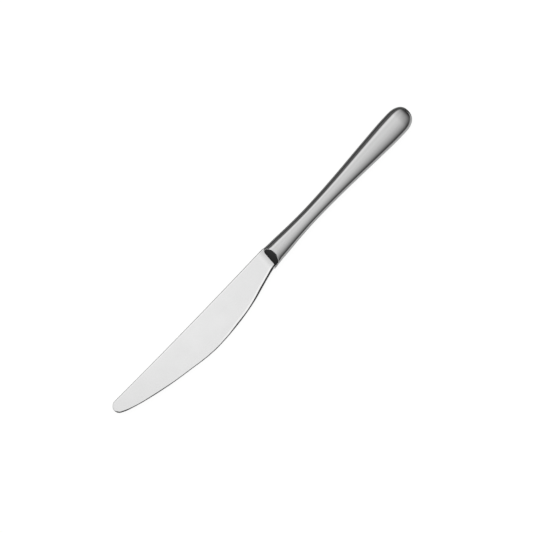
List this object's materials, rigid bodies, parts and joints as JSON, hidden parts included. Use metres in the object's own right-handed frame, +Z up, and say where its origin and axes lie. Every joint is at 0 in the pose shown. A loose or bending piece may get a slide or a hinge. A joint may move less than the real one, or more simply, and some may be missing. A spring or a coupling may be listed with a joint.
{
  "type": "table knife",
  "caption": "Table knife with a round-ended blade, curved cutting edge and half-moon bolster step, on a slender oval handle that narrows to a waist and swells to a round end.",
  "frame": {"origin": "on the surface that the knife lies on, under the middle of its length and breadth", "axes": "+X along the knife from the blade's tip towards the handle's far end, +Y from the cutting edge towards the spine, +Z up and square to the knife's middle plane"},
  "size_m": [0.2346, 0.0216, 0.0094],
  "materials": {
    "blade_steel": "forged stainless steel, ground and polished bright",
    "handle_steel": "pressed stainless steel, polished along its length",
    "braze": "pale silver-bearing braze, dressed flush",
    "cement": "set mineral cement, dull"
  },
  "bodies": {
    "root": {"blade": "blade_steel", "handle_shell_upper": "handle_steel", "handle_shell_lower": "handle_steel", "seam_braze": "braze", "bolster_braze": "braze", "handle_filler": "cement"}
  },
  "joints": []
}
